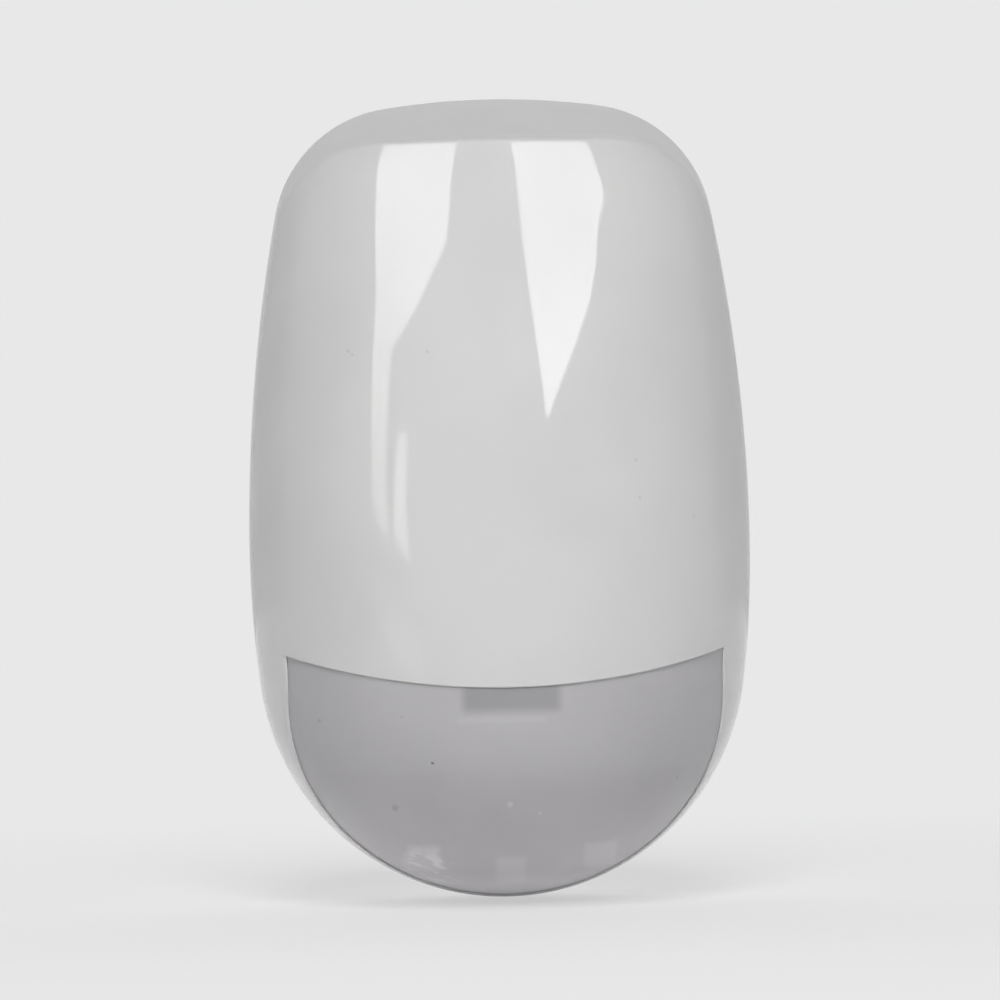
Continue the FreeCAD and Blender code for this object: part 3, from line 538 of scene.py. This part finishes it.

# Shapes that show through the lens, in millimetres: left, right, low and high. The shroud and the
# ridge under it and the three tabs; then a painted pale reflection over the left tab.
SHROUD_PATCH, RIDGE_PATCH = (-5.9, 6.4, -26.8, -20.0), (-6.6, 4.6, -28.1, -27.6)
TAB_PATCHES = [(-13.0, -8.9, -48.0, -44.1), (-1.7, 2.0, -49.8, -45.8), (9.6, 13.9, -47.8, -44.2)]
PAINTED_GLINT_PATCH = (-13.4, -6.4, -50.6, -45.0)

# Heights on the lens, each a low and a high end: the lower colour, painted paler to lift the shade
# near the floor, goes over into the upper one, the upper third is painted paler as lit, and the rim
# at the chin is painted pale up to its high end to lift its shade
LENS_PAINTED_LIFT, LENS_PAINTED_LIT_THIRD, LENS_PAINTED_RIM_LIFT = (-50.0, -36.0), (-35.2, -34.0), (-50.8, -47.6)


def cover_material():
    """Gloss white plastic: the eye gets clear reflections with a faint ripple, and a few small
    marks."""
    material, tree, output = new_material("gloss_white_plastic")
    where = place_in_mm(tree)
    split = add(tree, "ShaderNodeSeparateXYZ", Vector=where)
    x, z = split.outputs[0], split.outputs[2]
    cloud = spread(tree, noise(tree, where, size_mm=22.0, detail=2.0), 0.35, 0.65)
    colour = mixed(tree, cloud, linear("#D8D7D7"), linear("#D4D3D4"))
    colour = tinted(tree, colour, marks(tree, x, z, COVER_MARKS), 0.2, "#8E8E90")
    rough = spread(tree, noise(tree, where, size_mm=6.0), 0.3, 0.7, to_low=0.035, to_high=0.055)
    ripple = noise(tree, where, size_mm=9.0, detail=1.0)
    surface = add(tree, "ShaderNodeBsdfPrincipled", Base_Color=colour, Roughness=rough, IOR=1.53,
                  Normal=bumped(tree, ripple, lift_mm=0.006))
    finish_surface(tree, output, surface.outputs[0])
    return material


def lens_material():
    """Milky lens plastic: the eye gets a dull satin sheen, light that seeps through, and the shaded
    shapes of the frame, its three tabs and the indicator's shroud that lie close behind it. Painted
    light: the lower part and the chin's rim are painted paler to lift their shade, the upper third
    is painted paler as lit, and a painted pale reflection lies over the left tab."""
    material, tree, output = new_material("milky_lens_plastic")
    where = place_in_mm(tree)
    split = add(tree, "ShaderNodeSeparateXYZ", Vector=where)
    x, z = split.outputs[0], split.outputs[2]
    cloud = spread(tree, noise(tree, where, size_mm=12.0, detail=2.0), 0.3, 0.7)
    upper = mixed(tree, cloud, linear("#C4C2C5"), linear("#BFBDC0"))
    lower = mixed(tree, cloud, linear("#CECBCF"), linear("#C9C6CA"))
    # Painted light: the lower lens is painted paler than the upper, to lift the shade near the
    # floor
    colour = mixed(tree, spread(tree, z, *LENS_PAINTED_LIFT), lower, upper)
    # Painted light: the upper third is painted paler, as lit
    colour = tinted(tree, colour, spread(tree, z, *LENS_PAINTED_LIT_THIRD), 0.3, "#C8C7C9")
    colour = tinted(tree, colour, soft_box(tree, x, z, SHROUD_PATCH, soft=0.8), 0.5, "#838286")
    colour = tinted(tree, colour, soft_box(tree, x, z, RIDGE_PATCH, soft=0.4), 0.3, "#D6D5D7")
    for patch in TAB_PATCHES:
        colour = tinted(tree, colour, soft_box(tree, x, z, patch, soft=0.5), 0.35, "#E6E4E7")
    # Painted reflection: a pale blotch of reflection painted over the left tab
    painted_glint = calc(tree, "MULTIPLY", soft_box(tree, x, z, PAINTED_GLINT_PATCH, soft=1.2),
                  spread(tree, noise(tree, where, size_mm=2.6), 0.46, 0.6))
    colour = tinted(tree, colour, painted_glint, 0.55, "#F4F3F5")
    # Painted light: the chin's rim is painted nearly white to lift its shade
    painted_rim_lift = spread(tree, z, *LENS_PAINTED_RIM_LIFT, to_low=1.0, to_high=0.0)
    colour = tinted(tree, colour, painted_rim_lift, 0.85, "#F2F0F3")
    for spots, weight, shade in ((LENS_DARK_MARKS, 0.7, "#504E52"),
                                 (LENS_GREY_MARKS, 0.3, "#77757A"),
                                 (LENS_PALE_MARKS, 0.5, "#E0DFE1")):
        colour = tinted(tree, colour, marks(tree, x, z, spots), weight, shade)
    fine = noise(tree, where, size_mm=0.5)
    rough = spread(tree, noise(tree, where, size_mm=5.0), 0.3, 0.7, to_low=0.36, to_high=0.44)
    skin = add(tree, "ShaderNodeBsdfPrincipled", Base_Color=colour, Roughness=rough, IOR=1.52,
               Subsurface_Weight=0.25, Subsurface_Radius=(0.8, 0.7, 0.8), Subsurface_Scale=MM,
               Normal=bumped(tree, fine, lift_mm=0.006))
    through = add(tree, "ShaderNodeBsdfTranslucent", Color=colour)
    surface = add(tree, "ShaderNodeMixShader", i0=0.12, i1=skin.outputs[0], i2=through.outputs[0])
    finish_surface(tree, output, surface.outputs[0])
    return material


def board_material():
    """Green circuit board: the eye gets lacquer over fine straight tracks and small plated dots."""
    material, tree, output = new_material("green_circuit_board")
    where = place_in_mm(tree)
    lines = add(tree, "ShaderNodeTexWave", {"wave_type": "BANDS", "bands_direction": "X"},
                Vector=where, Scale=0.22, Distortion=1.5).outputs["Fac"]
    track = spread(tree, lines, 0.55, 0.62)
    zone = spread(tree, noise(tree, where, size_mm=7.0, detail=1.0), 0.48, 0.52)
    colour = mixed(tree, calc(tree, "MULTIPLY", track, zone), linear("#1F5A34"), linear("#2F7345"))
    dots = add(tree, "ShaderNodeTexVoronoi", Vector=where, Scale=0.45).outputs["Distance"]
    colour = mixed(tree, spread(tree, dots, 0.1, 0.13, 1.0, 0.0), colour, linear("#B8AE8C"))
    surface = add(tree, "ShaderNodeBsdfPrincipled", Base_Color=colour, Roughness=0.35,
                  Coat_Weight=0.3, Normal=bumped(tree, track, lift_mm=0.02))
    finish_surface(tree, output, surface.outputs[0])
    return material


def clear_material(name, tint, roughness):
    """Clear moulded plastic: the eye sees through it with a slight tint and faint flow lines."""
    material, tree, output = new_material(name)
    where = place_in_mm(tree)
    flow = noise(tree, where, size_mm=1.2, detail=2.0)
    base = mixed(tree, flow, linear(tint), WHITE)
    surface = add(tree, "ShaderNodeBsdfPrincipled", Base_Color=base, Roughness=roughness,
                  Transmission_Weight=0.9, IOR=1.49, Normal=bumped(tree, flow, lift_mm=0.004))
    finish_surface(tree, output, surface.outputs[0])
    return material


# Pieces

def dress(name, material):
    """Gives a CAD node its one material."""
    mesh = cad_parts[name].data
    mesh.materials.clear()
    mesh.materials.append(material)


cover = shell_mesh("cover_shell", cover_grids(), cover_wall, cover_edge)
cover.data.materials.append(cover_material())
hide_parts("front_cover")
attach(cover, "sensor")

lens = shell_mesh("lens_shell", lens_grids(), lens_wall, as_it_is)
lens.data.materials.append(lens_material())
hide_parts("lens")
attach(lens, "sensor")

# Each node's material: its name, colour, shade, roughness, the grain's size in millimetres, then
# for a moulded one the grain's height, and for a metal the factors on X, Y and Z under which its
# grain is read. A drawn can's grain is long on Y, and a rolled strip's is long on Z.
DEEP_DRAWN, DRAWN, ROLLED = (1.0, 0.15, 1.0), (1.0, 0.2, 1.0), (1.0, 1.0, 0.2)
FINISHES = {
    "rear_case": moulded("matt_white_plastic", "#E2E2E1", "#DFDFDE", 0.5, 0.35, 0.012),
    "lens_retainer": moulded("frame_white_plastic", "#DCDCDC", "#D2D3D5", 0.42, 0.5, 0.008),
    "led_shroud": moulded("dark_plastic", "#2B2B2E", "#343438", 0.5, 0.4, 0.010),
    "main_board": board_material(),
    "board_screws": metal("zinc_plated_steel", "#B9BBBE", "#8E9196", 0.28, 0.3),
    "sensor_base": metal("gold_plated_header", "#D8B56A", "#B08C45", 0.25, 0.4),
    "sensor_can": metal("drawn_nickel_can", "#C7C8C6", "#A5A7A6", 0.22, 0.25, DEEP_DRAWN),
    "sensor_window": moulded("infrared_filter", "#3A3B45", "#4B4A58", 0.12, 0.8, 0.002, coat=0.6),
    "sensor_sleeve": moulded("black_rubber", "#1B1B1C", "#262627", 0.75, 0.3, 0.015),
    "indicator_led": moulded("led_white_epoxy", "#E9E7DC", "#D9D5C2", 0.3, 0.6, 0.004),
    "light_guide": clear_material("clear_light_guide", "#EAF2F4", 0.08),
    "battery_cradle": moulded("cradle_white_plastic", "#D4D6D8", "#C9CCCF", 0.5, 0.4, 0.010),
    "battery_cell": moulded("printed_cell_wrap", "#2E4A77", "#273F68", 0.28, 1.0, 0.004, coat=0.4),
    "positive_contact": metal("nickel_strip", "#BFC0BC", "#93958F", 0.3, 0.2, ROLLED),
    "negative_contact": metal("nickel_strip_worn", "#BDBEB9", "#8D8F89", 0.32, 0.2, ROLLED),
    "negative_spring": metal("spring_nickel", "#B5B6B2", "#83857F", 0.3, 0.2),
    "tamper_switch": moulded("switch_black_plastic", "#1F1F21", "#2A2A2C", 0.5, 0.4, 0.008),
    "tamper_plunger": moulded("plunger_grey_plastic", "#BEBFC1", "#AEB0B3", 0.45, 0.3, 0.008),
    "learn_switch": moulded("switch_body_plastic", "#202022", "#2B2B2E", 0.5, 0.4, 0.008),
    "learn_button": moulded("button_grey_plastic", "#8B8D90", "#7B7D80", 0.45, 0.3, 0.008),
    "radio_module": moulded("module_laminate", "#1F4C66", "#27597A", 0.4, 0.6, 0.010, coat=0.2),
    "radio_shield": metal("tinned_shield", "#BEC0C0", "#999C9E", 0.3, 0.3),
    "antenna_coil": metal("enamelled_copper", "#C77B45", "#A55F33", 0.28, 0.2),
    "processor": moulded("chip_epoxy", "#18181A", "#222224", 0.6, 0.25, 0.012),
    "processor_pins": metal("tinned_pins", "#C3C5C6", "#9EA1A3", 0.3, 0.15),
    "crystal": metal("crystal_can", "#C2C3C1", "#A0A2A0", 0.22, 0.2, DRAWN),
    "capacitor": metal("capacitor_aluminium", "#BFC2C6", "#9DA1A6", 0.3, 0.25, DRAWN),
    "chip_resistors": moulded("resistor_ceramic", "#26272A", "#35363A", 0.4, 0.2, 0.006),
}
for node_name, finish in FINISHES.items():
    dress(node_name, finish)


# Stage: floor, light cards, world and camera

BACKGROUND = "#E8E8E9"
WORLD_FILL = 0.14

# The floor: its height and the corners of its disc of 1 m radius, then the distances in metres over
# which its shown background grows from SHOWN_LEAST to the whole, and over which its lift fades
FLOOR_Z, FLOOR_CORNERS = -0.0525, 64
SHOWN_NEAR, SHOWN_FAR, SHOWN_LEAST = 0.04, 0.24, 0.6
LIFT_NEAR, LIFT_FAR, LIFT = 0.06, 0.09, 0.11


def emission(tree, colour, strength):
    """A glow of a colour, as a shader."""
    return add(tree, "ShaderNodeEmission", Color=colour, Strength=strength).outputs[0]


def seen_directly(tree):
    """One for rays from the camera, off a gloss or through glass, and none for those that light."""
    path = add(tree, "ShaderNodeLightPath")
    some = calc(tree, "MAXIMUM", path.outputs["Is Camera Ray"], path.outputs["Is Glossy Ray"])
    return calc(tree, "MAXIMUM", some, path.outputs["Is Transmission Ray"])


def flat_piece(name, corners, material):
    """A flat stage piece from its corners in metres."""
    mesh = bpy.data.meshes.new(name)
    mesh.from_pydata(corners, [], [list(range(len(corners)))])
    mesh.materials.append(material)
    thing = placed(name, mesh)
    return thing


def floor_material():
    """A pale floor that takes the shadow near the part and goes over into the background further
    off. Close to the part it throws a little more light up at the chin than it shows. From below
    it is clear, so that it doesn't hide the part's underside."""
    material, tree, output = new_material("stage_floor")
    where = add(tree, "ShaderNodeTexCoord").outputs["Object"]
    away = add(tree, "ShaderNodeVectorMath", {"operation": "LENGTH"}, i0=where).outputs["Value"]
    matt = add(tree, "ShaderNodeBsdfDiffuse", Color=linear("#F2F2F2")).outputs[0]
    shown = seen_directly(tree)
    share = calc(tree, "MULTIPLY",
                 spread(tree, away, SHOWN_NEAR, SHOWN_FAR, SHOWN_LEAST, 1.0), shown)
    lift = calc(tree, "MULTIPLY", spread(tree, away, LIFT_NEAR, LIFT_FAR, LIFT, 0.0),
                calc(tree, "SUBTRACT", 1.0, shown))
    plain = emission(tree, linear(BACKGROUND), 1.0)
    glow = emission(tree, WHITE, lift)
    matt = add(tree, "ShaderNodeAddShader", i0=matt, i1=glow).outputs[0]
    top = add(tree, "ShaderNodeMixShader", i0=share, i1=matt, i2=plain).outputs[0]
    below = add(tree, "ShaderNodeNewGeometry").outputs["Backfacing"]
    clear = add(tree, "ShaderNodeBsdfTransparent").outputs[0]
    surface = add(tree, "ShaderNodeMixShader", i0=below, i1=top, i2=clear)
    finish_surface(tree, output, surface.outputs[0])
    return material


turns = np.linspace(0.0, 2 * math.pi, FLOOR_CORNERS + 1)[:-1]
disc = np.stack([np.cos(turns), np.sin(turns), np.full(FLOOR_CORNERS, FLOOR_Z)], axis=1)
flat_piece("floor", disc.tolist(), floor_material())

# Light cards as directions seen from the part: azimuth from the front towards +X, and elevation.
# The first four draw the reflections on the cover, the flag keeps the roof grey, and the last two
# light the part from the front and the back.
LEFT_CARD = [(-106, 64), (-19, 64), (-20.5, 52), (-20.8, 46), (-21, 40), (-23, 36), (-29.5, 33),
             (-35, 30), (-42.5, 26.5), (-48.8, 24), (-50, 22.5), (-51.5, 17.2), (-52.6, 13.2),
             (-52.6, 9.4), (-54.2, 8.9), (-58.4, 9.5), (-60, 10.7), (-59, 18.3), (-57.3, 26.2),
             (-60, 36), (-71, 46), (-86, 54)]
RIGHT_CARD = [(9.5, 52), (62, 52), (61, 46), (57, 41), (55, 34), (52, 33.8), (49, 32.3),
              (48.7, 31), (43.6, 28.4), (35.2, 26), (27.4, 23.6), (21, 21.3), (18.7, 26),
              (15.3, 32), (12.3, 39)]
SIDE_STRIP = [(-46.2, 17.6), (-41.5, 18), (-42.3, 15.3), (-43.2, 12.8), (-42.6, 9.7),
              (-41.7, 7.7), (-46.2, 8.4), (-49.8, 9), (-49, 12.1), (-48, 14.5)]
SIDE_GLOW = [(-60, 5.4), (-48.5, 4.2), (-38.2, 1.1), (-43, -1.5), (-53.8, -1.1), (-62, 1.3)]
GREY_FLAG = [(115, 62), (245, 62), (245, -2), (115, -2)]
FRONT_CARD = [(-14, 62), (14, 62), (14, 21), (-14, 21)]
BACK_CARD = [(130, 40), (230, 40), (230, 0), (130, 0)]

# The share of a card's height at which its second strength lies
CARD_BELT = 0.4


def direction(azimuth, elevation):
    """The unit vector (sin az * cos el, -cos az * cos el, sin el)."""
    a, e = math.radians(azimuth), math.radians(elevation)
    return np.array([math.sin(a) * math.cos(e), -math.cos(a) * math.cos(e), math.sin(e)])


def light_card(name, corners, strengths, distance, mirrored):
    """A flat glowing card whose corners lie in the given directions, with its own strength at its
    lower end, at two fifths of its height and at its upper end, and its distance in metres. A
    mirrored one is only seen in the part's gloss, and any other one only lights it."""
    rays = np.array([direction(*corner) for corner in corners])
    facing = rays.mean(axis=0)
    facing /= np.linalg.norm(facing)
    spots = rays * (distance / (rays @ facing))[:, None]
    material, tree, output = new_material(name + "_glow")
    where = add(tree, "ShaderNodeTexCoord").outputs["Object"]
    height = add(tree, "ShaderNodeSeparateXYZ", Vector=where).outputs[2]
    low, high = float(spots[:, 2].min()), float(spots[:, 2].max())
    belt = low + CARD_BELT * (high - low)
    lower = spread(tree, height, low, belt, strengths[0], strengths[1])
    upper = spread(tree, height, belt, high, 0.0, strengths[2] - strengths[1])
    finish_surface(tree, output, emission(tree, WHITE, calc(tree, "ADD", lower, upper)))
    card = flat_piece(name, spots.tolist(), material)
    card.visible_camera = False
    card.visible_glossy = mirrored
    card.visible_diffuse = not mirrored


light_card("left_card", LEFT_CARD, (2.6, 5.6, 1.4), 1.30, mirrored=True)
light_card("right_card", RIGHT_CARD, (6.6, 5.8, 5.0), 1.31, mirrored=True)
light_card("side_strip", SIDE_STRIP, (2.6, 3.4, 3.4), 1.32, mirrored=True)
light_card("side_glow", SIDE_GLOW, (1.5, 1.5, 1.5), 1.33, mirrored=True)
light_card("grey_flag", GREY_FLAG, (0.62, 0.58, 0.58), 1.34, mirrored=True)
light_card("front_card", FRONT_CARD, (7.8, 8.5, 9.8), 1.40, mirrored=False)
light_card("back_card", BACK_CARD, (1.9, 1.9, 1.9), 1.40, mirrored=False)


def studio_world():
    """A world that lights the part weakly from everywhere and shows the pale background."""
    world = bpy.data.worlds.new("studio")
    world.use_nodes = True
    tree = world.node_tree
    tree.nodes.clear()
    fill = add(tree, "ShaderNodeBackground", Color=WHITE, Strength=WORLD_FILL).outputs[0]
    plain = add(tree, "ShaderNodeBackground", Color=linear(BACKGROUND), Strength=1.0).outputs[0]
    sky = add(tree, "ShaderNodeMixShader", i0=seen_directly(tree), i1=fill, i2=plain)
    finish_surface(tree, tree.nodes.new("ShaderNodeOutputWorld"), sky.outputs[0])
    return world


bpy.context.scene.world = studio_world()

# Camera: level with the part's middle, 1.5 degrees to the left of it and rolled by 1.1 degrees.
# Its place is in metres, its turn about the axes in degrees, and its lens and film in millimetres.
CAMERA_PLACE, CAMERA_TURN = (-0.02348, -0.91472, 0.00109), (89.917, 1.139, -1.505)
CAMERA_LENS, CAMERA_FILM = 248.0, 36.0

camera_data = bpy.data.cameras.new("camera")
camera_data.sensor_width = CAMERA_FILM
camera_data.lens = CAMERA_LENS
camera = placed("camera", camera_data)
camera.location = CAMERA_PLACE
camera.rotation_euler = [math.radians(turn) for turn in CAMERA_TURN]
bpy.context.scene.camera = camera
bpy.context.scene.view_settings.view_transform = "Standard"
